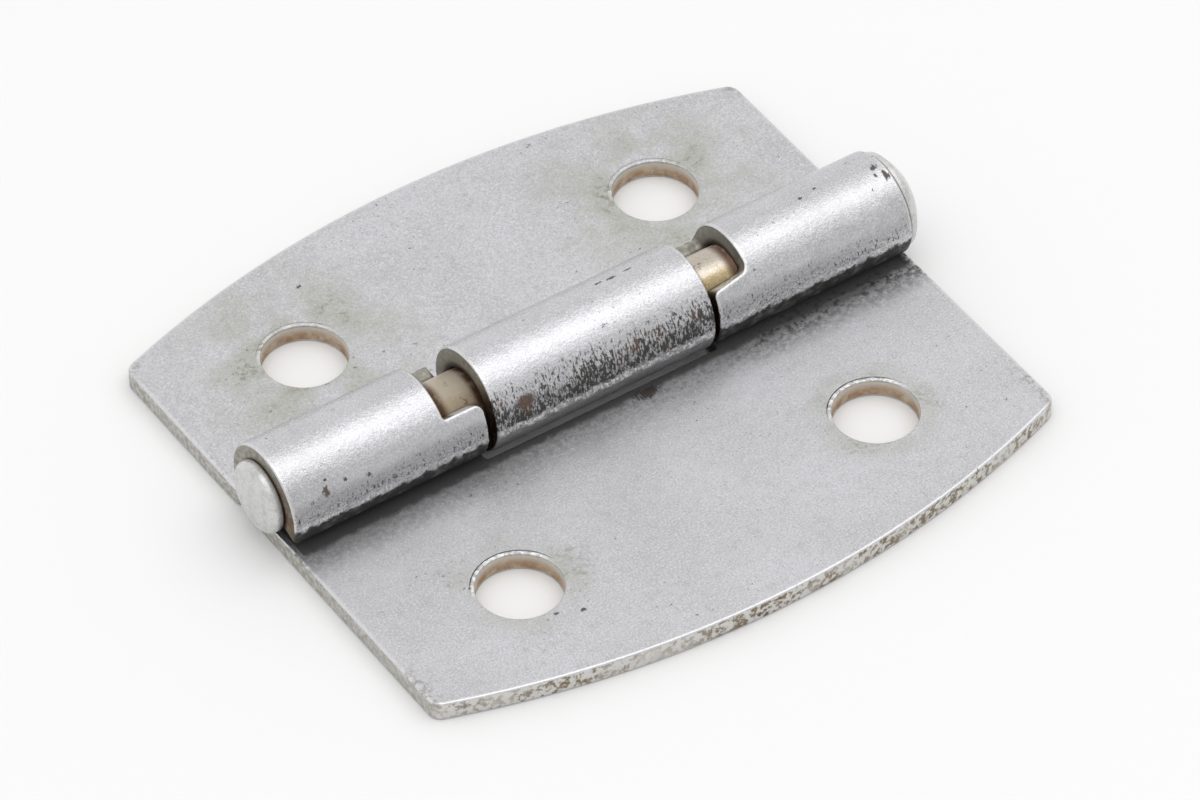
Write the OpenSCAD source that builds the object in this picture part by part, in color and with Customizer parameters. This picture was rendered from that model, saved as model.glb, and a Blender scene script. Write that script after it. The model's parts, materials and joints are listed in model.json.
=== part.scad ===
// Small butt hinge, open flat: a leaf with two outer knuckles, a leaf with one
// centre knuckle, and a headed pin. Each leaf is one piece of sheet whose end
// passes under the pin and curls up and over it, back towards its own leaf.
// X runs along the pin, Z is up, and Z = 0 is the plane of both leaves' backs.
// The origin is under the middle of the pin. Sizes are in millimetres.

/* [Leaves] */
// Length of both leaves along the pin
leaf_length = 50.8; // [48:0.2:56]
// Thickness of the sheet
sheet_t = 1.5; // [1.2:0.1:1.8]
// Pin axis to the crown of the curved edge, on the leaf with two knuckles
pair_reach = 25.2; // [24:0.1:28]
// Pin axis to the crown of the curved edge, on the leaf with one knuckle
single_reach = 22.4; // [21:0.1:25]
// Radius of the curved outer edges
edge_arc_r = 73; // [60:1:120]
// Radius of the outer corners
corner_r = 1; // [0.5:0.1:2]
// Pin axis to the edge that is cut back to clear the other leaf's knuckles
cut_back = 3.5; // [3.5:0.1:4.5]

/* [Screw holes] */
// Diameter of the plain holes
hole_d = 6.1; // [5:0.1:6.5]
// Distance between a leaf's two holes, along the pin
hole_spacing = 29.2; // [26:0.2:32]
// Hole centres to the crown of the curved edge
hole_edge = 10.5; // [9:0.1:11.5]

/* [Knuckles] */
// Length of the centre knuckle
centre_length = 17.8; // [15:0.2:20]
// Side gap between the centre knuckle and each outer one
side_gap = 0.7; // [0.3:0.1:1.2]
// Angle below the horizontal at which the curl's tip ends
tip_angle = 32; // [25:1:35]
// Length along the pin of the window at the inner end of each outer knuckle
window_length = 3; // [2:0.1:4]
// Window's edge on the tip side, in degrees above the horizontal
window_front = 41; // [30:1:50]
// Window's edge on the far side, measured the same way round the knuckle
window_back = 170; // [150:1:175]

/* [Pin] */
// Diameter of the pin's shank
pin_d = 4.7; // [4.5:0.1:5]
// Radial clearance between the shank and the knuckles
pin_clearance = 0.05; // [0.02:0.01:0.1]
// Diameter of the domed head
head_d = 7.3; // [6:0.1:7.4]
// Height of the domed head's straight rim
head_rim = 0.5; // [0.2:0.1:0.8]
// Height of the dome above the rim
head_dome = 1.5; // [1:0.1:2]
// Diameter of the peened end
peened_d = 5.2; // [5.2:0.1:6]
// Height of the peened end
peened_h = 1; // [0.8:0.1:1.5]
// Rounding of the peened end's rim
peened_round = 0.5; // [0.2:0.1:0.7]

/* [Hidden] */
$fn = 96;
bore_r = pin_d / 2 + pin_clearance;
knuckle_r = bore_r + sheet_t;
axis_z = knuckle_r;
outer_start = centre_length / 2 + side_gap;
// Cutting bodies reach this far past the surfaces that they cut
past = 1;
// Room cut round the other leaf's knuckles, beyond their outside
sweep_gap = 0.1;
leaf_colour = "silver";
pin_colour = "tan";

// The sector from angle a to angle b, under half a turn, as a triangle fan
// that reaches past radius r. Angles run from the X axis, anticlockwise.
module sector(a, b, r) {
    steps = 6;
    polygon(concat([[0, 0]], [for (i = [0 : steps])
        let (angle = a + (b - a) * i / steps) 2 * r * [cos(angle), sin(angle)]]));
}

// Extrudes an end view along the pin, from x1 to x2, with the pin axis at its [0, 0]
module along_pin(x1, x2) {
    translate([x1, 0, axis_z]) rotate([90, 0, 90]) linear_extrude(x2 - x1) children();
}

// What a corner loses to its rounding: all outside the circle, from the end's
// direction, +X, round to the curved edge's direction there, a unit vector. The
// circle is a little larger than one that just touches both, so it crosses them.
module corner_waste(curve_normal) {
    reach = corner_r + past;
    difference() {
        polygon([[0, 0], [reach, 0], [reach, reach], reach * curve_normal]);
        circle(1.02 * corner_r);
    }
}

// Plan of one leaf, which runs towards +Y, and of the curl beyond the pin axis
module leaf_plan(reach) {
    arc_y = reach - edge_arc_r;
    round_x = leaf_length / 2 - corner_r;
    round_dy = sqrt(pow(edge_arc_r - corner_r, 2) - pow(round_x, 2));
    back_y = -knuckle_r - past;
    difference() {
        intersection() {
            translate([-leaf_length / 2, back_y]) square([leaf_length, reach + past - back_y]);
            translate([0, arc_y]) circle(edge_arc_r, $fn = 360);
        }
        for (side = [0, 1]) mirror([side, 0]) translate([round_x, arc_y + round_dy])
            corner_waste([round_x, round_dy] / (edge_arc_r - corner_r));
        for (side = [-1, 1])
            translate([side * hole_spacing / 2, reach - hole_edge]) circle(hole_d / 2);
    }
}

// End view of a leaf that runs towards +Y. The sheet comes in under the pin,
// rises on the -Y side and ends over itself.
module leaf_profile(reach) {
    difference() {
        circle(knuckle_r);
        circle(bore_r);
        sector(-90, -tip_angle, knuckle_r);
    }
    translate([0, -knuckle_r]) square([reach, sheet_t]);
}

// End view of what is cut from a leaf to clear the other leaf's knuckles: the
// curl, and the flat sheet up to the cut-back edge
module clearance_profile() {
    circle(knuckle_r + sweep_gap);
    translate(-(knuckle_r + past) * [1, 1])
        square([cut_back + knuckle_r + past, 2 * (knuckle_r + past)]);
}

// The bent sheet of one leaf, at full width, with its holes
module bent_sheet(reach) {
    intersection() {
        along_pin(-leaf_length / 2 - past, leaf_length / 2 + past) leaf_profile(reach);
        translate([0, 0, -past]) linear_extrude(2 * (knuckle_r + past)) leaf_plan(reach);
    }
}

// End view of the window in an outer knuckle of a leaf that runs towards +Y
module window_profile() {
    middle = (window_front + window_back) / 2;
    difference() {
        union() {
            sector(window_front, middle, knuckle_r);
            sector(middle, window_back, knuckle_r);
        }
        circle(bore_r - past);
    }
}

// Leaf towards -Y, drawn towards +Y and turned round. Both ends are alike.
module two_knuckle_leaf() {
    color(leaf_colour) mirror([0, 1, 0]) difference() {
        bent_sheet(pair_reach);
        along_pin(-outer_start, outer_start) clearance_profile();
        for (side = [0, 1]) mirror([side, 0, 0])
            along_pin(outer_start - past, outer_start + window_length) window_profile();
    }
}

// Leaf towards +Y
module single_knuckle_leaf() {
    color(leaf_colour) difference() {
        bent_sheet(single_reach);
        for (side = [0, 1]) mirror([side, 0, 0])
            along_pin(centre_length / 2, leaf_length / 2 + past) clearance_profile();
    }
}

// Half section of the domed head, standing on its flat face at Y = 0
module head_section() {
    head_r = head_d / 2;
    dome_r = (pow(head_r, 2) + pow(head_dome, 2)) / (2 * head_dome);
    intersection() {
        square([head_r, head_rim + head_dome]);
        translate([0, head_rim + head_dome - dome_r]) circle(dome_r, $fn = 180);
    }
}

// Half section of the peened end, standing on its flat face at Y = 0
module peened_section() {
    flat_r = peened_d / 2 - peened_round;
    square([flat_r, peened_h]);
    square([peened_d / 2, peened_h - peened_round]);
    intersection() {
        translate([flat_r, peened_h - peened_round]) circle(peened_round);
        square([peened_d, peened_h]);
    }
}

// Pin, clinched in the outer knuckles: head at +X, peened end at -X
module hinge_pin() {
    color(pin_colour) translate([0, 0, axis_z]) rotate([0, 90, 0]) union() {
        translate([0, 0, -leaf_length / 2]) cylinder(d = pin_d, h = leaf_length);
        translate([0, 0, leaf_length / 2]) rotate_extrude() head_section();
        translate([0, 0, -leaf_length / 2]) mirror([0, 0, 1]) rotate_extrude() peened_section();
    }
}

two_knuckle_leaf();
single_knuckle_leaf();
hinge_pin();
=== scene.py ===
"""The looks of a small three-knuckle butt hinge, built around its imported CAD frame."""
import json
import math
from collections import namedtuple

import bpy
import numpy as np
from mathutils import Matrix, Vector, geometry, kdtree, noise


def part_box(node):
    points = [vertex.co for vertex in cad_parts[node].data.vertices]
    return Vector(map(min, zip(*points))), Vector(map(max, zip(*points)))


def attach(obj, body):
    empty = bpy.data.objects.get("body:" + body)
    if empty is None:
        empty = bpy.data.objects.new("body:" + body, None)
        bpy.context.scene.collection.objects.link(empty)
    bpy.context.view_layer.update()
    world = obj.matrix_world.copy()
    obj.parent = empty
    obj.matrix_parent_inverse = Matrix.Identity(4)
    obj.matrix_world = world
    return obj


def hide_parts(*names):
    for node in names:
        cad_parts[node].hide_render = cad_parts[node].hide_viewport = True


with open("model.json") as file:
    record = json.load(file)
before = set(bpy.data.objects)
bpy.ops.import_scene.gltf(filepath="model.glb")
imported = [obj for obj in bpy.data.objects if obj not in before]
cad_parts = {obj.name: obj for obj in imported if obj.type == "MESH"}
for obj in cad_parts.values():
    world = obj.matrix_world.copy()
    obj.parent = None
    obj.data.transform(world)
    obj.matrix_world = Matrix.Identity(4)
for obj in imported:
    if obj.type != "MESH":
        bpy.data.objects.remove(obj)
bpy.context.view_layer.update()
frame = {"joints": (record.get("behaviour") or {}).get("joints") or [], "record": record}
MM = 0.001

# ---------------------------------------------------------------- sizes, in millimetres

leaf_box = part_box("single_knuckle_leaf")
mounts = {m["name"]: m for m in frame["record"]["mounts"]}
joint = frame["joints"][0]

LEAF_LENGTH = (leaf_box[1].x - leaf_box[0].x) / MM
SINGLE_REACH = leaf_box[1].y / MM
PAIR_REACH = -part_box("two_knuckle_leaf")[0].y / MM
AXIS_Z = joint["pos_m"][2] / MM
KNUCKLE_R = AXIS_Z
SHEET_T = mounts["single_knuckle_leaf_holes"]["pos_m"][2] / MM
HOLE_R = mounts["single_knuckle_leaf_holes"]["dims"]["hole_r_mm"]
HOLE_SPACING = mounts["single_knuckle_leaf_holes"]["dims"]["spacing_x_mm"]
SINGLE_HOLE_Y = mounts["single_knuckle_leaf_holes"]["pos_m"][1] / MM
PAIR_HOLE_Y = -mounts["two_knuckle_leaf_holes"]["pos_m"][1] / MM

EDGE_ARC_R = 73.0        # curved outer edges
CORNER_R = 1.0           # outer corners
CUT_BACK = 3.5           # pin axis to the edge that clears the other leaf's knuckles
CENTRE_ENDS = (9.1, 8.85)   # middle of the pin to the centre knuckle's left and right ends
OUTER_STARTS = (9.8, 9.25)  # middle of the pin to the inner ends of the left and right knuckles
WINDOW_LENGTH = 3.0      # window in the inner end of each outer knuckle
WINDOW_FRONT = 229.0     # window's edge on the tip side, degrees round the curl
WINDOW_BACK = 100.0      # window's other edge
TIP_ANGLE = 302.0        # the curl's end, degrees round from under the pin
TIP_SKEW = 4.0           # the left tip stops this much sooner, and the right tip later
PIN_R = 2.35
MID_R = KNUCKLE_R - SHEET_T / 2
HALF_LENGTH = LEAF_LENGTH / 2

LIP_ANGLE = 98.0         # raised lip low on the centre knuckle's front, degrees from its top
LIP_SOONER = (2.0, 3.0)  # how much sooner the left and the right knuckle's lips come
LIP_HEIGHT = 0.10
LIP_WIDTH = 3.2          # degrees
LIP_WANDER = 6           # how far the lip strays up and down, degrees

EDGE_ROUND = 0.16        # rounding of the sheet's cut edges
HOLE_ROUND = 0.05        # rounding of the holes' edges
SUPPORT = 0.09           # flat band that keeps an edge's rounding out of the flat's shading
OUTLINE_STEP = 0.4       # longest side of an outline
FLAT_GRID = 0.7          # spacing of the mesh on the flat
CURL_GRID = 0.35         # spacing of the mesh along the pin on a curl
CURL_TURN = 2.5          # spacing of the mesh round a curl, degrees
WITHIN_EDGES = 1         # the triangulation keeps only what its edges enclose


# ---------------------------------------------------------------- outlines of the flat blanks

def curl(degrees):
    """Where a point of the curl lies on the flat blank: below zero, by length round the curl."""
    return -math.radians(degrees) * MID_R


def arc(cx, cy, radius, start, end, step=0.25):
    """Points along an arc, angles in degrees."""
    count = max(4, math.ceil(abs(math.radians(end - start)) * radius / step))
    angles = np.radians(np.linspace(start, end, count + 1))
    return [(cx + radius * math.cos(a), cy + radius * math.sin(a)) for a in angles]


def rounded(path):
    """A closed outline from (x, y, fillet radius) corners. Radius 0 leaves the point as it is."""
    out = []
    for i, (x, y, radius) in enumerate(path):
        here = np.array((x, y))
        if radius == 0:
            out.append(here)
            continue
        before = np.array(path[i - 1][:2]) - here
        after = np.array(path[(i + 1) % len(path)][:2]) - here
        before, after = before / np.linalg.norm(before), after / np.linalg.norm(after)
        for s in np.linspace(0, 1, 7):
            turn = s * math.pi / 2
            centre = here + radius * (before + after)
            out.append(centre - radius * (after * math.cos(turn) + before * math.sin(turn)))
    return np.array(out)


def resampled(points, step):
    """The closed outline with no edge longer than step."""
    out = []
    for a, b in zip(points, np.roll(points, -1, axis=0)):
        count = max(1, math.ceil(np.linalg.norm(b - a) / step))
        out += [a + (b - a) * k / count for k in range(count)]
    out = np.array(out)
    gap = np.linalg.norm(out - np.roll(out, 1, axis=0), axis=1)
    return out[gap > 1e-4]


def outer_edge(reach):
    """The curved outer edge with its two corners, from the +X end to the -X end."""
    arc_y = reach - EDGE_ARC_R
    round_x = HALF_LENGTH - CORNER_R
    round_dy = math.sqrt((EDGE_ARC_R - CORNER_R) ** 2 - round_x ** 2)
    normal = math.degrees(math.atan2(round_dy, round_x))
    points = arc(round_x, arc_y + round_dy, CORNER_R, 0, normal, 0.15)
    points += arc(0, arc_y, EDGE_ARC_R, normal, 180 - normal, 0.5)[1:-1]
    points += arc(-round_x, arc_y + round_dy, CORNER_R, 180 - normal, 180, 0.15)
    return [(x, y, 0) for x, y in points]


def single_outline():
    """The far leaf's blank: one strip in the middle, cut back on both sides of it."""
    (left, right), end = CENTRE_ENDS, HALF_LENGTH
    strip = [(-end, CUT_BACK, 0.4), (-left, CUT_BACK, 0.3), (-left, curl(TIP_ANGLE), 0.45),
             (right, curl(TIP_ANGLE), 0.45), (right, CUT_BACK, 0.3), (end, CUT_BACK, 0.4)]
    return rounded(outer_edge(SINGLE_REACH) + strip)


def pair_outline():
    """The near leaf's blank: a strip at each end, with a window in its inner side."""
    end, high = HALF_LENGTH, curl(WINDOW_BACK)

    def strip(start, tip, front, skew, inner_corner, outer_corner):
        window_end = start + WINDOW_LENGTH
        return [(end, tip, 0.6), (start, tip, 0.6), (start, curl(front + skew), outer_corner),
                (window_end, curl(front - skew), inner_corner), (window_end, high, 0.45),
                (start, high, 0.4), (start, CUT_BACK, 0.3)]

    left = strip(OUTER_STARTS[0], curl(TIP_ANGLE - TIP_SKEW), WINDOW_FRONT, 0, 0.22, 0.6)
    right = strip(OUTER_STARTS[1], curl(TIP_ANGLE + TIP_SKEW), WINDOW_FRONT - 1, 4, 0.5, 0.4)
    return rounded(outer_edge(PAIR_REACH) + [(-x, y, radius) for x, y, radius in left] + right[::-1])


def hole(x, y):
    """A hole's outline, wound the opposite way to an outer outline."""
    return np.array(arc(x, y, HOLE_R, 360, 0, 0.2)[:-1])


# ---------------------------------------------------------------- sheet metal meshes

def outward(points):
    """Unit normals that point away from the sheet, and the mitre's stretch, at each point."""
    ahead = np.roll(points, -1, axis=0) - points
    behind = points - np.roll(points, 1, axis=0)
    n1 = np.stack([ahead[:, 1], -ahead[:, 0]], 1) / np.linalg.norm(ahead, axis=1)[:, None]
    n2 = np.stack([behind[:, 1], -behind[:, 0]], 1) / np.linalg.norm(behind, axis=1)[:, None]
    n = n1 + n2
    n /= np.linalg.norm(n, axis=1)[:, None]
    return n / np.maximum(0.6, (n * n1).sum(1))[:, None]


def inside(points, loop):
    """Which points lie inside a closed loop."""
    x, y = points[:, 0][:, None], points[:, 1][:, None]
    (x1, y1), (x2, y2) = loop.T, np.roll(loop, -1, axis=0).T
    crosses = (y1 <= y) != (y2 <= y)
    at = x1 + (y - y1) * (x2 - x1) / np.where(y2 == y1, 1e-12, y2 - y1)
    return (crosses & (x < at)).sum(1) % 2 == 1


def grid_points(loops, reach):
    """Points inside the sheet: fine along the curl, where the sheet bends, and coarser on the flat."""
    xs = np.arange(-HALF_LENGTH, HALF_LENGTH, FLAT_GRID)
    flat = [(x, y) for y in np.arange(0, reach, FLAT_GRID) for x in xs]
    xs = np.arange(-HALF_LENGTH, HALF_LENGTH, CURL_GRID)
    curled = [(x, curl(a)) for a in np.arange(CURL_TURN, TIP_ANGLE + TIP_SKEW, CURL_TURN) for x in xs]
    points = np.array(flat + curled)
    keep = inside(points, loops[0])
    for loop in loops[1:]:
        keep &= ~inside(points, loop)
    tree = kdtree.KDTree(sum(len(loop) for loop in loops))
    for i, p in enumerate(np.concatenate(loops)):
        tree.insert((p[0], p[1], 0), i)
    tree.balance()
    near = np.array([tree.find((p[0], p[1], 0))[2] for p in points])
    keep &= near > SUPPORT
    return points[keep], near[keep]


def lip(along_pin, lean):
    """How far a knuckle's outside stands proud: a ragged lip low on its front."""
    wave = np.array([(noise.noise((x * 0.9, 3.1, 0)), noise.noise((x * 2.6, 7.7, 0)))
                     for x in along_pin])
    sooner = np.where(along_pin < -OUTER_STARTS[0], LIP_SOONER[0],
                      np.where(along_pin > OUTER_STARTS[1], LIP_SOONER[1], 0))
    off = (lean + sooner - LIP_ANGLE - LIP_WANDER * wave[:, 0]) / LIP_WIDTH
    return LIP_HEIGHT * np.exp(-off * off) * (0.7 + 1.1 * wave[:, 1])


def bent(blank, height, front):
    """Blank points to space, for a leaf that runs towards +Y: flat first, then round the pin.
    front is 1 where the curl ends on the hinge's front side, -1 where it starts there."""
    along = np.maximum(0, -blank[:, 1]) / MID_R
    radius = KNUCKLE_R - height
    outside = (height < EDGE_ROUND) & (along > 0.1)
    radius[outside] += lip(blank[outside, 0], front * (np.degrees(along[outside]) - 180))
    y = np.where(blank[:, 1] > 0, blank[:, 1], -radius * np.sin(along))
    z = np.where(blank[:, 1] > 0, height, KNUCKLE_R - radius * np.cos(along))
    return np.stack([blank[:, 0], y, z], 1)


def edge_profile(radius):
    """A cut edge from the top face to the bottom face: (inset from the outline, height)."""
    quarter = np.radians(np.linspace(0, 90, 5))
    top = [(radius * (1 - math.sin(a)), SHEET_T - radius * (1 - math.cos(a))) for a in quarter]
    profile = [(radius + SUPPORT, SHEET_T)] + top
    return profile + [(inset, SHEET_T - height) for inset, height in reversed(profile)]


def rims(loops, profiles):
    """The rounded edges of a blank: its points, heights and insets, its faces, and the point numbers
    of each loop's rings."""
    points, height, inset_mm, faces, rings, start = [], [], [], [], [], 0
    for loop, profile in zip(loops, profiles):
        ring, normal = [], outward(loop)
        for inset, level in profile:
            ring.append(start + np.arange(len(loop)))
            points.append(loop - normal * inset)
            height.append(np.full(len(loop), level))
            inset_mm.append(np.full(len(loop), inset))
            start += len(loop)
        for a, b in zip(ring, ring[1:]):
            faces += np.stack([a, b, np.roll(b, -1), np.roll(a, -1)], 1).tolist()
        rings.append(ring)
    return points, height, inset_mm, faces, rings


def fill(loops, inner):
    """Triangles over the area inside the first loop and outside the others, through inner points."""
    points = np.concatenate(loops + [inner])
    edges, first = [], 0
    for loop in loops:
        edges += [(first + i, first + (i + 1) % len(loop)) for i in range(len(loop))]
        first += len(loop)
    cdt = geometry.delaunay_2d_cdt([Vector(p) for p in points], edges, [], WITHIN_EDGES, 1e-6)
    origin = [source[0] for source in cdt[3]]
    triangles = np.array([[origin[i] for i in face] for face in cdt[2]])
    middle = points[triangles].mean(1)
    for loop in loops[1:]:
        in_hole = inside(middle, loop)
        triangles, middle = triangles[~in_hole], middle[~in_hole]
    return triangles


def sheet_leaf(name, outline, holes, reach, flip):
    """One leaf as a closed mesh: its blank with rounded edges, bent round the pin."""
    loops = [resampled(outline, OUTLINE_STEP)] + holes
    profiles = [edge_profile(EDGE_ROUND)] + [edge_profile(HOLE_ROUND)] * len(holes)
    blank, height, edge, faces, rings = rims(loops, profiles)
    flat_loops = [loop - outward(loop) * profile[0][0] for loop, profile in zip(loops, profiles)]
    inner, near = grid_points(flat_loops, reach)
    triangles = fill(flat_loops, inner)
    start = sum(len(points) for points in blank)
    for side, level in ((0, SHEET_T), (-1, 0.0)):
        blank.append(inner)
        height.append(np.full(len(inner), level))
        edge.append(near + EDGE_ROUND + SUPPORT)
        index = np.concatenate([ring[side] for ring in rings] + [start + np.arange(len(inner))])
        start += len(inner)
        faces += (index[triangles] if side == 0 else index[triangles][:, ::-1]).tolist()

    blank, height = np.concatenate(blank), np.concatenate(height)
    space = bent(blank, height, 1 if flip else -1)
    if flip:
        space[:, 1] *= -1
        faces = [face[::-1] for face in faces]
    mesh = bpy.data.meshes.new(name)
    mesh.from_pydata((space * MM).tolist(), [], faces)
    for label, values in (("edge_mm", np.concatenate(edge)),
                          ("curl_deg", np.degrees(np.maximum(0, -blank[:, 1]) / MID_R)),
                          ("height_mm", height)):
        mesh.attributes.new(label, "FLOAT", "POINT").data.foreach_set("value", values.astype(np.float32))
    return finished(name, mesh)


def finished(name, mesh):
    """Smooth-shaded object of a mesh, linked to the scene."""
    mesh.validate()
    mesh.polygons.foreach_set("use_smooth", [True] * len(mesh.polygons))
    piece = bpy.data.objects.new(name, mesh)
    bpy.context.scene.collection.objects.link(piece)
    return piece


def hole_pair(y):
    return [hole(side * HOLE_SPACING / 2, y) for side in (-1, 1)]


pair_leaf = sheet_leaf("leaf_with_two_knuckles", pair_outline(), hole_pair(PAIR_HOLE_Y), PAIR_REACH, True)
single_leaf = sheet_leaf("leaf_with_one_knuckle", single_outline(), hole_pair(SINGLE_HOLE_Y),
                         SINGLE_REACH, False)


# ---------------------------------------------------------------- pin

PEENED_RISE = 0.22       # the hand-peened end sits a little high on the pin


def pin_profile():
    """Half outline of the pin: (x along the pin, radius, rise), from the peened end to the dome."""
    end = HALF_LENGTH
    peened_h, peened_r, peened_round, dish = 1.0, 2.65, 0.55, 0.06
    head_r, head_rim, head_dome = 3.65, 0.5, 1.5
    dome_r = (head_r ** 2 + head_dome ** 2) / (2 * head_dome)
    points = [(-end - peened_h, 0.0), (-end - peened_h, 0.7), (-end - peened_h + dish, 1.7)]
    points += [(-end - peened_h + dish + peened_round - y, x) for x, y in
               arc(peened_r - peened_round, 0, peened_round, 80, 0, 0.07)]
    points += [(-end, peened_r)]
    points = [(x, radius, PEENED_RISE) for x, radius in points]
    points += [(-end, PIN_R, 0), (end, PIN_R, 0), (end, head_r - 0.1, 0), (end + 0.1, head_r, 0)]
    top = end + head_rim + head_dome
    sweep = math.degrees(math.asin(head_r / dome_r))
    points += [(top - dome_r + x, y, 0) for x, y in arc(0, 0, dome_r, sweep - 1.5, 0, 0.15)]
    return points


def lathe(name, profile, segments=128):
    """A closed mesh turned about the pin axis."""
    turns = np.linspace(0, 2 * math.pi, segments, endpoint=False)
    points, rings, faces = [], [], []
    for x, radius, rise in profile:
        if radius < 1e-6:
            rings.append([len(points)])
            points.append((x, 0, AXIS_Z + rise))
            continue
        rings.append(list(range(len(points), len(points) + segments)))
        points += [(x, radius * math.sin(a), AXIS_Z + rise + radius * math.cos(a)) for a in turns]
    for a, b in zip(rings, rings[1:]):
        for i in range(segments):
            k = (i + 1) % segments
            if len(a) == 1:
                faces.append((a[0], b[i], b[k]))
            elif len(b) == 1:
                faces.append((a[i], b[0], a[k]))
            else:
                faces.append((a[i], b[i], b[k], a[k]))
    mesh = bpy.data.meshes.new(name)
    mesh.from_pydata([tuple(MM * c for c in p) for p in points], [], faces)
    return finished(name, mesh)


pin = lathe("hinge_pin_steel", pin_profile())


# ---------------------------------------------------------------- materials

class Paint:
    """Short calls that build one material's nodes. Lengths are in millimetres."""

    def __init__(self, name):
        self.material = bpy.data.materials.new(name)
        self.material.use_nodes = True
        self.nodes = self.material.node_tree.nodes
        self.shader = self.nodes["Principled BSDF"]
        coords = self.nodes.new("ShaderNodeTexCoord").outputs["Object"]
        self.place = self.vector("SCALE", coords, Scale=1 / MM)
        self.x, self.y, self.z = self.split(self.place)
        self.lean = self.leaning()

    def put(self, socket, value):
        if isinstance(value, bpy.types.NodeSocket):
            self.material.node_tree.links.new(value, socket)
        else:
            socket.default_value = (*value, 1) if socket.type == "RGBA" else value

    def vector(self, operation, a, b=None, **named):
        node = self.nodes.new("ShaderNodeVectorMath")
        node.operation = operation
        self.put(node.inputs[0], a)
        if b is not None:
            self.put(node.inputs[1], b)
        for key, value in named.items():
            self.put(node.inputs[key], value)
        return node.outputs["Vector" if operation != "LENGTH" else "Value"]

    def split(self, vector):
        node = self.nodes.new("ShaderNodeSeparateXYZ")
        self.put(node.inputs[0], vector)
        return node.outputs

    def join(self, x, y, z):
        node = self.nodes.new("ShaderNodeCombineXYZ")
        for socket, value in zip(node.inputs, (x, y, z)):
            self.put(socket, value)
        return node.outputs[0]

    def math(self, operation, a, b=0.0, clamp=False):
        node = self.nodes.new("ShaderNodeMath")
        node.operation, node.use_clamp = operation, clamp
        self.put(node.inputs[0], a)
        self.put(node.inputs[1], b)
        return node.outputs[0]

    def times(self, *factors):
        out = factors[0]
        for factor in factors[1:]:
            out = self.math("MULTIPLY", out, factor)
        return out

    def without(self, value):
        return self.math("SUBTRACT", 1.0, value)

    def most(self, *values):
        out = values[0]
        for value in values[1:]:
            out = self.math("MAXIMUM", out, value)
        return out

    def attribute(self, name):
        node = self.nodes.new("ShaderNodeAttribute")
        node.attribute_name = name
        return node.outputs["Fac"]

    def leaning(self):
        """Angle round the pin axis in degrees: 0 on top, 90 towards the front."""
        up = self.math("SUBTRACT", self.z, AXIS_Z)
        return self.math("MULTIPLY", self.math("ARCTAN2", self.times(self.y, -1.0), up), 180 / math.pi)

    def noise(self, size, detail=2.0, stretch=(1, 1, 1), seed=0.0, rough=0.5):
        """Noise from 0 to 1 whose blotches are about size across."""
        node = self.nodes.new("ShaderNodeTexNoise")
        node.inputs["Scale"].default_value = 1 / size
        node.inputs["Detail"].default_value = detail
        node.inputs["Roughness"].default_value = rough
        stretched = self.vector("MULTIPLY", self.place, stretch)
        self.put(node.inputs["Vector"], self.vector("ADD", stretched, (seed, seed * 0.7, seed * 1.3)))
        return node.outputs["Fac"]

    def ramp(self, value, low, high, out_low=0.0, out_high=1.0):
        """Smooth change from out_low to out_high while value goes from low to high."""
        node = self.nodes.new("ShaderNodeMapRange")
        node.interpolation_type = "SMOOTHSTEP"
        for key, number in (("Value", value), ("From Min", low), ("From Max", high),
                            ("To Min", out_low), ("To Max", out_high)):
            self.put(node.inputs[key], number)
        return node.outputs[0]

    def between(self, value, start, full, over, end):
        """1 between full and over, 0 outside start to end."""
        return self.times(self.ramp(value, start, full), self.ramp(value, over, end, 1.0, 0.0))

    def blot(self, u, v, at, size, crumbs):
        """1 inside a ragged ellipse at a place on the surface, 0 outside."""
        across = self.join(self.math("DIVIDE", self.math("SUBTRACT", u, at[0]), size[0]),
                           self.math("DIVIDE", self.math("SUBTRACT", v, at[1]), size[1]), 0.0)
        ragged = self.math("ADD", self.vector("LENGTH", across), self.times(crumbs, 3.0))
        return self.ramp(ragged, 2.1, 2.5, 1.0, 0.0)

    def mix(self, factor, a, b):
        node = self.nodes.new("ShaderNodeMix")
        node.data_type = "RGBA"
        self.put(node.inputs["Factor"], factor)
        self.put(node.inputs[6], a)
        self.put(node.inputs[7], b)
        return node.outputs[2]

    def blend(self, factor, a, b):
        node = self.nodes.new("ShaderNodeMix")
        self.put(node.inputs["Factor"], factor)
        self.put(node.inputs[2], a)
        self.put(node.inputs[3], b)
        return node.outputs[0]

    def bump(self, height, distance, after=None, strength=1.0):
        """A bump of a 0 to 1 height map that stands distance proud at 1."""
        node = self.nodes.new("ShaderNodeBump")
        node.inputs["Distance"].default_value = distance * MM
        self.put(node.inputs["Strength"], strength)
        self.put(node.inputs["Height"], height)
        if after is not None:
            self.put(node.inputs["Normal"], after)
        return node.outputs[0]

    def finish(self, colour, metallic, roughness, normal):
        self.put(self.shader.inputs["Base Color"], colour)
        self.put(self.shader.inputs["Metallic"], metallic)
        self.put(self.shader.inputs["Roughness"], roughness)
        self.put(self.shader.inputs["Normal"], normal)
        return self.material


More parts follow.
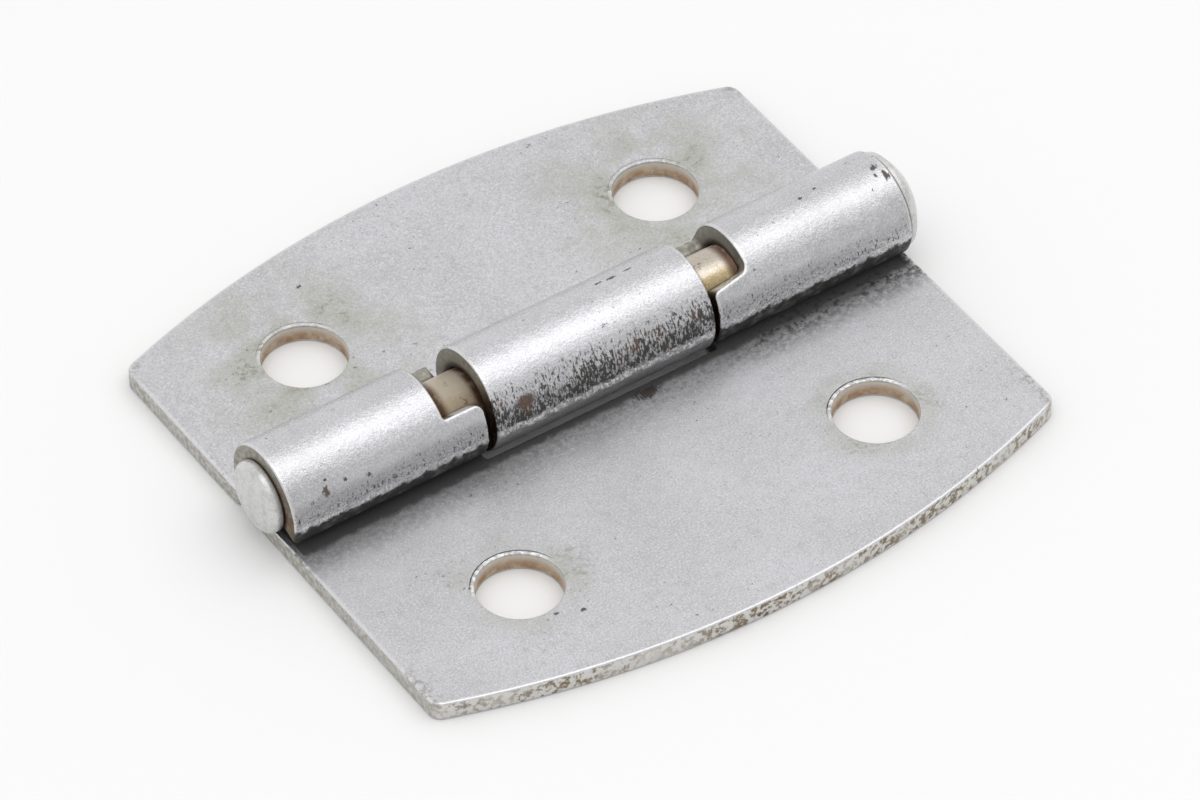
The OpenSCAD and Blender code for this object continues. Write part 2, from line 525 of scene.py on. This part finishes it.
NICKEL = (0.60, 0.60, 0.625)
NICKEL_SHADE = (0.545, 0.545, 0.56)
NICKEL_DULL_AND_SHADE = (0.40, 0.40, 0.405)
NICKEL_WEAR_AND_HIGHLIGHT = (0.80, 0.795, 0.80)
OLIVE = (0.39, 0.39, 0.31)
MOSS = (0.16, 0.155, 0.09)
EDGE_GREY = (0.68, 0.67, 0.645)
END_GREY = (0.47, 0.46, 0.43)
RING_GREY = (0.40, 0.385, 0.34)
RING_SHADE = (0.24, 0.225, 0.19)
RING_GAP_SHADE_AND_DIRT = (0.040, 0.024, 0.015)
BROWN = (0.17, 0.115, 0.07)
EDGE_BROWN = (0.20, 0.15, 0.09)
DIRT_AND_SHADE = (0.018, 0.016, 0.014)
GRIME = (0.034, 0.033, 0.028)
RUST = (0.10, 0.052, 0.028)
TAN = (0.52, 0.44, 0.33)
WALL_GREY = (0.60, 0.575, 0.52)
WALL_BROWN = (0.33, 0.19, 0.10)

Wear = namedtuple("Wear", "hole_y halo_reach halo_amount burr_amount spatter_amount spatter_start "
                          "crust_amount marks seed")


def read_surface(p, hole_y):
    """Where a point is: in the sheet, along the pin, round the pin, and from the nearest hole."""
    p.edge, p.height, p.curled = p.attribute("edge_mm"), p.attribute("height_mm"), p.attribute("curl_deg")
    p.away = p.math("ABSOLUTE", p.x)
    p.past_hole = p.math("SUBTRACT", p.y, hole_y)
    p.from_hole = p.vector("LENGTH", p.join(p.math("SUBTRACT", p.away, HOLE_SPACING / 2), p.past_hole, 0.0))
    p.round_pin = p.times(p.lean, math.radians(KNUCKLE_R))
    sooner = p.most(p.ramp(p.x, -OUTER_STARTS[0] - 0.1, -CENTRE_ENDS[0] - 0.1, LIP_SOONER[0], 0.0),
                    p.ramp(p.x, CENTRE_ENDS[1] + 0.1, OUTER_STARTS[1] - 0.1, 0.0, LIP_SOONER[1]))
    p.dip = p.math("ADD", p.lean, sooner)


def shared_noises(p, seed):
    """The noises that the stains, the grime and the grain share, from coarse to fine."""
    p.cloud = p.noise(7, 3, seed=seed)
    p.patch = p.noise(4.5, 2, seed=seed + 15)
    p.stain = p.noise(3.2, 4, seed=seed + 9)
    p.rusty = p.ramp(p.noise(1.6, 3, seed=seed + 21), 0.56, 0.68)
    p.mottle = p.noise(0.9, 4, seed=seed + 3, rough=0.65)
    p.crumbs = p.noise(0.45, 4, seed=seed + 11, rough=0.65)
    p.strokes = p.noise(0.27, 4, stretch=(1.7, 0.65, 0.65), seed=seed + 17, rough=0.7)
    p.grain = p.noise(0.14, 3, seed=seed + 5, rough=0.7)


def find_places(p):
    """Masks for the parts of the sheet: 1 on the part, 0 elsewhere."""
    p.on_curl = p.ramp(p.curled, 4, 12)
    p.outside = p.times(p.on_curl, p.ramp(p.height, 0.1, 0.2, 1.0, 0.0))
    p.bore = p.times(p.on_curl, p.ramp(p.height, SHEET_T - 0.2, SHEET_T - 0.1))
    p.tip = p.ramp(p.curled, TIP_ANGLE - 14, TIP_ANGLE - 8)
    p.cut = p.times(p.ramp(p.edge, 0.02, 0.05, 1.0, 0.0),
                    p.between(p.height, 0.08, 0.16, SHEET_T - 0.16, SHEET_T - 0.08))
    p.rim = p.times(p.ramp(p.edge, EDGE_ROUND * 0.7, EDGE_ROUND * 2.0, 1.0, 0.0), p.without(p.cut),
                    p.ramp(p.from_hole, HOLE_R + 0.3, HOLE_R + 0.5))
    p.hole_wall = p.times(p.ramp(p.from_hole, HOLE_R + 0.05, HOLE_R + 0.15, 1.0, 0.0), p.cut)
    p.top_flat = p.times(p.without(p.on_curl), p.ramp(p.height, 1.3, 1.4))
    # the far rim of each hole: a raised burr in the bump, and a painted highlight in the colour
    p.burr = p.times(p.ramp(p.from_hole, HOLE_R + 0.22, HOLE_R + 0.34, 1.0, 0.0), p.top_flat,
                     p.ramp(p.past_hole, 0.4, 2.2))
    p.at_end = p.ramp(p.away, HALF_LENGTH - 0.3, HALF_LENGTH - 0.15)


def clean_metal(p, wear):
    """Satin nickel with clouds, mottling, salt-and-pepper grain, olive stains, brighter rims, a painted
    highlight on each hole's far rim, and a painted shade band low on the knuckles.
    """
    colour = p.mix(p.ramp(p.cloud, 0.3, 0.7), NICKEL_SHADE, NICKEL)
    colour = p.mix(p.times(p.ramp(p.mottle, 0.45, 0.75), 0.35), colour, NICKEL_DULL_AND_SHADE)
    colour = p.mix(p.times(p.ramp(p.grain, 0.50, 0.66), 0.55), colour, NICKEL_WEAR_AND_HIGHLIGHT)
    colour = p.mix(p.times(p.ramp(p.grain, 0.50, 0.34), 0.38), colour, NICKEL_DULL_AND_SHADE)
    halo = p.times(p.ramp(p.from_hole, HOLE_R + 0.3, HOLE_R + wear.halo_reach, 1.0, 0.0),
                   p.ramp(p.stain, 0.32, 0.58), p.without(p.on_curl))
    colour = p.mix(p.times(halo, wear.halo_amount), colour, OLIVE)
    # painted shade: a darker band round every knuckle, at the same angle below its top
    painted_dark_band = p.times(p.outside, p.between(p.math("ADD", p.dip, p.times(p.mottle, 12.0)), 68, 79, 84, 94))
    colour = p.mix(p.times(painted_dark_band, 0.6), colour, NICKEL_DULL_AND_SHADE)
    # painted highlight on each hole's far rim, with the brighter worn rims
    burr = p.times(p.burr, p.ramp(p.crumbs, 0.56, 0.44), wear.burr_amount)
    return p.mix(p.most(p.times(p.rim, 0.4), burr), colour, NICKEL_WEAR_AND_HIGHLIGHT)


def find_grime(p, wear):
    """Specks on the flats, spatter low on the knuckles, and the listed blemishes."""
    specks = p.most(p.times(p.ramp(p.crumbs, 0.64, 0.70), p.ramp(p.patch, 0.46, 0.62)),
                    p.times(p.ramp(p.strokes, 0.69, 0.75), 0.7))
    low = p.times(p.outside, p.between(p.dip, wear.spatter_start, wear.spatter_start + 36, 96, 104))
    denser = p.times(low, p.ramp(p.stain, 0.28, 0.62, 0.4, 1.0), wear.spatter_amount)
    spatter = p.ramp(p.math("ADD", p.strokes, denser), 0.59, 0.69)
    spatter = p.times(spatter, p.ramp(low, 0.02, 0.2))
    p.blots = p.most(*(p.blot(p.x, p.round_pin if on_knuckle else p.y, at, size, p.strokes)
                       for on_knuckle, at, size in wear.marks))
    p.grime = p.most(p.times(specks, 0.7), p.times(spatter, 0.95), p.times(p.blots, 0.9))


def find_soot(p, wear):
    """Painted shade mixed with dirt: caked dirt and painted shade under a knuckle, smudges with a painted
    dark reflection and painted shade at a knuckle's foot, and painted shade in the bore and at the curl's
    tip.
    """
    # caked dirt and painted shade on the knuckle's underside, below the lip
    ragged = p.math("ADD", p.math("ADD", p.dip, p.times(p.mottle, 16.0)), p.times(p.crumbs, 16.0))
    under = p.times(p.outside, p.between(ragged, 111, 116, 150, 178),
                    p.ramp(p.mottle, 0.30, 0.55, 0.80, 1.0), wear.crust_amount)
    # dirt smudges with a painted dark reflection of the knuckle on the leaf in front of it
    smudge_and_dark_reflection = p.times(p.top_flat,
                     p.between(p.math("ADD", p.y, p.times(p.mottle, 1.4)), -6.6, -3.6, -2.6, -2.0),
                     p.ramp(p.crumbs, 0.32, 0.60), p.ramp(p.x, 9, 13, 0.7, 1.0))
    shaded = p.times(p.top_flat,
                     p.between(p.math("ADD", p.y, p.times(p.stain, 1.2)), -5.0, -3.6, -2.6, -2.0),
                     p.between(p.x, 9, 13, 22, 25), 0.85)
    # painted shade on the leaf's top and cut edge at the foot of the knuckles
    dark_foot = p.times(p.without(p.on_curl), p.between(p.math("ADD", p.y, p.mottle), -4.6, -3.5, 0, 1),
                        p.ramp(p.away, HALF_LENGTH - 0.5, HALF_LENGTH - 0.2, 0.95, 0.0),
                        p.ramp(p.height, 0.2, 0.6))
    # painted shade in the bore round the pin and at the curl's tip, joined with the marks above
    p.soot = p.most(smudge_and_dark_reflection, shaded, dark_foot, under, p.bore,
                    p.times(p.tip, p.ramp(p.height, 0.05, 0.12)))


def stained(p, wear, colour):
    """The metal with its grime, moss near the holes, brown corners, and a painted highlight along the lip.
    """
    colour = p.mix(p.grime, colour, p.mix(p.most(p.rusty, p.times(p.blots, 0.6)), GRIME, RUST))
    moss = p.times(p.ramp(p.from_hole, HOLE_R + 1.2, HOLE_R + 4.5, 1.0, 0.0), p.ramp(p.stain, 0.52, 0.66),
                   p.ramp(p.crumbs, 0.46, 0.62), p.top_flat)
    colour = p.mix(p.times(moss, wear.halo_amount), colour, MOSS)
    corner = p.times(p.ramp(p.away, HALF_LENGTH - 1.2, HALF_LENGTH - 0.3), p.ramp(p.crumbs, 0.46, 0.60),
                     p.ramp(p.math("ABSOLUTE", p.y), SINGLE_REACH - 7, SINGLE_REACH - 4.5), p.top_flat)
    colour = p.mix(p.times(corner, 0.45), colour, BROWN)
    # painted highlight along the ragged lip low on each knuckle's front
    lip_highlight = p.times(p.outside, p.between(p.math("ADD", p.dip, p.times(p.crumbs, 14.0)), 95, 99, 107, 112),
                       p.ramp(p.strokes, 0.42, 0.56))
    return p.mix(p.times(lip_highlight, 0.95), colour, NICKEL_WEAR_AND_HIGHLIGHT)


def ring_ends(p):
    """The knuckles' ends: grey, browner to the front, and dark at the bore and in the gaps, from painted
    shade and dirt.
    """
    colour = p.mix(p.ramp(p.crumbs, 0.38, 0.62), RING_GREY, RING_SHADE)
    colour = p.mix(p.times(p.ramp(p.lean, 10, 80), p.ramp(p.mottle, 0.3, 0.55)), colour, BROWN)
    at_gaps = p.ramp(p.away, OUTER_STARTS[0] + 1.1, OUTER_STARTS[0] + 4.1, 1.0, 0.0)
    # painted shade with dark dirt in the gaps between knuckles and towards the bore
    dark = p.most(p.times(at_gaps, p.ramp(p.lean, 20, 75)), p.ramp(p.height, 0.9, 1.3, 0.0, 0.85))
    return p.mix(dark, colour, RING_GAP_SHADE_AND_DIRT)


def cut_faces(p):
    """Sheared edges with brown patches, the knuckles' ends, and the holes' walls."""
    edge_dirt = p.times(p.ramp(p.crumbs, 0.46, 0.58), p.ramp(p.patch, 0.36, 0.58, 0.30, 1.0))
    edge_grey = p.mix(p.times(p.at_end, p.ramp(p.crumbs, 0.35, 0.6, 0.35, 1.0)), EDGE_GREY, END_GREY)
    p.edge_dirt = p.times(edge_dirt, p.blend(p.at_end, 1.0, 0.35))
    colour = p.mix(p.edge_dirt, edge_grey, p.mix(p.rusty, EDGE_BROWN, RUST))
    window_edge = p.between(p.away, OUTER_STARTS[1] + 0.1, OUTER_STARTS[0] + 0.1,
                            OUTER_STARTS[1] + WINDOW_LENGTH - 0.5, OUTER_STARTS[1] + WINDOW_LENGTH - 0.1)
    window_front = p.times(window_edge, p.ramp(p.lean, -10, 20))
    colour = p.mix(p.times(p.on_curl, p.without(window_front)), colour, ring_ends(p))
    low_wall = p.mix(p.ramp(p.mottle, 0.3, 0.65), TAN, WALL_BROWN)
    wall_height = p.math("ADD", p.height, p.times(p.mottle, 0.8))
    return p.mix(p.hole_wall, colour, p.mix(p.ramp(wall_height, 0.9, 1.9), low_wall, WALL_GREY))


def plate_relief(p):
    """Grain and mottling everywhere, dents low on the knuckles, burrs at the holes, pitted grime."""
    dented = p.times(p.outside, p.between(p.dip, 62, 88, 125, 140))
    relief = p.math("ADD", p.times(p.grain, p.blend(p.outside, 0.014, 0.026)), p.times(p.mottle, 0.012))
    crumbled = p.math("ADD", p.times(p.outside, 0.045), p.times(dented, 0.13))
    relief = p.math("ADD", relief, p.times(p.crumbs, crumbled))
    relief = p.math("ADD", relief, p.times(p.burr, p.crumbs, 0.15))
    return p.math("SUBTRACT", relief, p.times(p.grime, 0.02))


def plate_material(name, wear):
    """Worn satin nickel plate: fine grain, pits, stains near the holes, grime low on the knuckles, and
    painted shade round the knuckles.
    """
    p = Paint(name)
    read_surface(p, wear.hole_y)
    shared_noises(p, wear.seed)
    find_places(p)
    find_grime(p, wear)
    find_soot(p, wear)
    colour = stained(p, wear, clean_metal(p, wear))
    colour = p.mix(p.cut, colour, cut_faces(p))
    # the painted shade and dirt, nearly black
    colour = p.mix(p.times(p.soot, 0.97), colour, DIRT_AND_SHADE)

    dull = p.most(p.grime, p.times(p.soot, 0.9), p.times(p.cut, 0.6))
    satin = p.math("SUBTRACT", p.ramp(p.grain, 0.3, 0.7, 0.27, 0.42), p.times(p.outside, 0.06))
    bare = p.most(p.times(p.grime, 0.6), p.soot, p.times(p.cut, p.edge_dirt), p.hole_wall)
    return p.finish(colour, p.blend(bare, 1.0, 0.2), p.blend(dull, satin, 0.65),
                    p.bump(plate_relief(p), 1.0))


SHANK_LIGHT, SHANK_LIGHT_GRAIN = (0.58, 0.53, 0.46), (0.50, 0.44, 0.37)
SHANK_LOW, SHANK_LOW_GRAIN = (0.44, 0.36, 0.21), (0.35, 0.27, 0.15)
SHANK_PAINTED_LIGHT = (0.62, 0.53, 0.41)
SHANK_CRUST_AND_SHADE = (0.11, 0.055, 0.028)
PIN_BRIGHT, PIN_GREY, PIN_GRAIN = (0.64, 0.64, 0.63), (0.48, 0.48, 0.47), (0.40, 0.40, 0.39)
PIN_GAP_DIRT_AND_SHADE = (0.08, 0.045, 0.025)


def shank_colour(p):
    """Tan and tarnished, with painted light that makes it paler in the left window, and dark brown where a
    knuckle meets the pin, from dirt and painted shade.
    """
    upper = p.mix(p.ramp(p.grain, 0.4, 0.6), SHANK_LIGHT, SHANK_LIGHT_GRAIN)
    lower = p.mix(p.ramp(p.grain, 0.4, 0.6), SHANK_LOW, SHANK_LOW_GRAIN)
    tan = p.mix(p.ramp(p.math("ADD", p.lean, p.times(p.blotch, 16.0)), 28, 42), upper, lower)
    # painted light: the shank made paler in the left window
    tan = p.mix(p.times(p.left, 0.6), tan, SHANK_PAINTED_LIGHT)
    window_end = OUTER_STARTS[1] + WINDOW_LENGTH
    # dirt, with painted shade, where the knuckles close round the pin and at the window's edges
    crust = p.most(p.ramp(p.along, CENTRE_ENDS[0] + 0.1, CENTRE_ENDS[0] + 0.6, 1.0, 0.0),
                   p.ramp(p.along, window_end - 0.9, window_end - 0.2),
                   p.ramp(p.lean, 44, 60), p.ramp(p.lean, -42, -60))
    p.crust = p.times(crust, p.ramp(p.blotch, 0.25, 0.5, 0.6, 1.0))
    pits = p.times(p.ramp(p.blotch, 0.60, 0.68), 0.6)
    return p.mix(p.most(p.crust, pits), tan, SHANK_CRUST_AND_SHADE)


def pin_material():
    """Pin steel: bright worn ends, and a tan, tarnished shank."""
    p = Paint("pin_steel")
    p.along = p.math("ABSOLUTE", p.x)
    p.grain = p.noise(0.13, 3, seed=2, rough=0.65)
    p.blotch = p.noise(0.8, 4, seed=4, rough=0.65)
    p.left = p.ramp(p.x, -4, 4, 1.0, 0.0)
    shank = p.ramp(p.along, HALF_LENGTH - 1.5, HALF_LENGTH - 0.5, 1.0, 0.0)
    bright = p.mix(p.ramp(p.blotch, 0.42, 0.7), PIN_BRIGHT, PIN_GREY)
    bright = p.mix(p.times(p.ramp(p.grain, 0.48, 0.66), 0.45), bright, PIN_GRAIN)
    # dark ring where the pin leaves a knuckle's outer end: dirt and painted shade in the joint
    gap = p.between(p.along, HALF_LENGTH - 0.3, HALF_LENGTH - 0.1, HALF_LENGTH + 0.05, HALF_LENGTH + 0.2)
    colour = p.mix(gap, p.mix(shank, bright, shank_colour(p)), PIN_GAP_DIRT_AND_SHADE)
    # the painted light in the left window also lowers the shank's metallic and raises its roughness
    left_painted_light = p.times(p.left, shank)
    dents = p.times(p.without(shank), p.times(p.blotch, 0.07))
    relief = p.math("ADD", p.math("ADD", p.times(p.grain, 0.012), p.times(p.blotch, 0.01)), dents)
    return p.finish(colour, p.blend(p.most(p.crust, gap, left_painted_light), 1.0, 0.4),
                    p.blend(p.most(gap, left_painted_light), 0.27, 0.36), p.bump(relief, 1.0))


# Blemishes: whether one is on a knuckle, then its place and half size. A place on a knuckle is
# (x, distance round from the top towards the front), on a flat (x, y).
PAIR_MARKS = [(True, (24.6, 0.2), (0.30, 0.32)), (True, (25.0, 1.2), (0.24, 0.45)),
              (True, (24.3, 0.9), (0.12, 0.2)),
              (True, (20.0, -0.4), (0.16, 0.14)), (True, (18.6, -0.1), (0.16, 0.14)),
              (True, (-22.6, 4.3), (0.26, 0.48)), (True, (-22.4, 3.5), (0.2, 0.14)),
              (True, (-21.0, 4.1), (0.18, 0.18)), (True, (-19.2, 4.5), (0.2, 0.18)),
              (False, (2.8, -4.4), (1.1, 0.5)), (False, (-14.0, -18.2), (0.22, 0.16)),
              (False, (-12.3, -18.9), (0.26, 0.16))]
SINGLE_MARKS = [(True, (2.5, -1.2), (0.35, 0.14)), (True, (3.5, -1.1), (0.4, 0.14)),
                (True, (4.9, -1.2), (0.35, 0.1)), (True, (-6.6, 4.6), (0.8, 0.5)),
                (False, (-11.2, 17.9), (0.2, 0.16))]

PAIR_WEAR = Wear(hole_y=-PAIR_HOLE_Y, halo_reach=2.4, halo_amount=0.32, burr_amount=1.0,
                 spatter_amount=0.085, spatter_start=60, crust_amount=1.0, marks=PAIR_MARKS, seed=0.0)
SINGLE_WEAR = Wear(hole_y=SINGLE_HOLE_Y, halo_reach=8.0, halo_amount=0.5, burr_amount=0.35,
                   spatter_amount=0.20, spatter_start=36, crust_amount=0.5, marks=SINGLE_MARKS, seed=40.0)

for piece, node, body, slot, material in (
        (pair_leaf, "two_knuckle_leaf", "fixed_side", "leaf_plate",
         plate_material("plate_with_two_knuckles", PAIR_WEAR)),
        (single_leaf, "single_knuckle_leaf", "swinging_side", "leaf_plate",
         plate_material("plate_with_one_knuckle", SINGLE_WEAR)),
        (pin, "hinge_pin", "fixed_side", "pin_steel", pin_material())):
    piece.data.materials.append(material)
    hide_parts(node)
    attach(piece, body)


# ---------------------------------------------------------------- studio

FLOOR_SIZE = 4           # metres
FLOOR_ALBEDO = 0.815
FLOOR_GAP = 0.02         # keeps the floor off the leaves' undersides
WORLD_LIGHT = 0.86
WORLD_CHANGE = 0.14      # how much brighter the surround is behind, and dimmer in front
LAMPS_RIGHT = 0.12       # how far right of the hinge the lamps hang, metres
# Each lamp: width, depth, height and how far it sits to the front, in metres, and its brightness.
LAMPS = {"softbox": (1.2, 0.44, 0.75, 0.08, 0.86), "diffuser": (2.6, 1.8, 1.2, 0.35, 0.34)}

# The photograph's viewpoint, worked out from the hinge's outlines: angles in degrees.
AZIMUTH, ELEVATION, ROLL = -33.8, 44.75, -0.49
CAMERA_DISTANCE = 0.569  # metres
CAMERA_TARGET = (0.565, -1.88, 0)
CAMERA_LENS, CAMERA_SENSOR = 249, 36


def add_floor():
    """A plain matt white floor."""
    bpy.ops.mesh.primitive_plane_add(size=FLOOR_SIZE, location=(0, 0, -FLOOR_GAP * MM))
    floor = bpy.context.object
    floor.name = "floor"
    material = bpy.data.materials.new("floor_white")
    material.use_nodes = True
    shader = material.node_tree.nodes["Principled BSDF"]
    shader.inputs["Base Color"].default_value = (FLOOR_ALBEDO,) * 3 + (1,)
    shader.inputs["Roughness"].default_value = 0.9
    shader.inputs["Specular IOR Level"].default_value = 0.1
    floor.data.materials.append(material)


def add_surround():
    """An even white surround that is a little dimmer in front."""
    world = bpy.data.worlds.new("studio")
    world.use_nodes = True
    nodes, links = world.node_tree.nodes, world.node_tree.links
    split = nodes.new("ShaderNodeSeparateXYZ")
    links.new(nodes.new("ShaderNodeTexCoord").outputs["Generated"], split.inputs[0])
    fade = nodes.new("ShaderNodeMapRange")
    fade.inputs["From Min"].default_value = -1
    fade.inputs["To Min"].default_value = WORLD_LIGHT - WORLD_CHANGE
    fade.inputs["To Max"].default_value = WORLD_LIGHT + WORLD_CHANGE
    links.new(split.outputs["Y"], fade.inputs["Value"])
    links.new(fade.outputs[0], nodes["Background"].inputs["Strength"])
    nodes["Background"].inputs["Color"].default_value = (1, 1, 1, 1)
    bpy.context.scene.world = world


def add_lamps():
    """A softbox over the hinge, and a wide diffuser above it."""
    for name, (width, depth, above, forward, radiance) in LAMPS.items():
        lamp = bpy.data.lights.new(name, "AREA")
        lamp.shape = "RECTANGLE"
        lamp.size, lamp.size_y = width, depth
        lamp.energy = radiance * math.pi * width * depth
        lit = bpy.data.objects.new(name, lamp)
        lit.location = (LAMPS_RIGHT, -forward, above)
        bpy.context.scene.collection.objects.link(lit)


def add_camera():
    """A camera at the photograph's viewpoint."""
    azimuth, elevation, roll = math.radians(AZIMUTH), math.radians(ELEVATION), math.radians(ROLL)
    back = Vector((math.sin(azimuth) * math.cos(elevation), -math.cos(azimuth) * math.cos(elevation),
                   math.sin(elevation)))
    data = bpy.data.cameras.new("camera")
    data.sensor_width, data.lens = CAMERA_SENSOR, CAMERA_LENS
    data.clip_start, data.clip_end = 0.01, 10
    view = bpy.data.objects.new("camera", data)
    view.location = Vector(CAMERA_TARGET) * MM + back * CAMERA_DISTANCE
    view.rotation_mode = "QUATERNION"
    level = (-back).to_track_quat("-Z", "Y")
    view.rotation_quaternion = level @ Matrix.Rotation(roll, 3, "Z").to_quaternion()
    bpy.context.scene.collection.objects.link(view)
    bpy.context.scene.camera = view


add_floor()
add_surround()
add_lamps()
add_camera()
bpy.context.scene.view_settings.view_transform = "Standard"
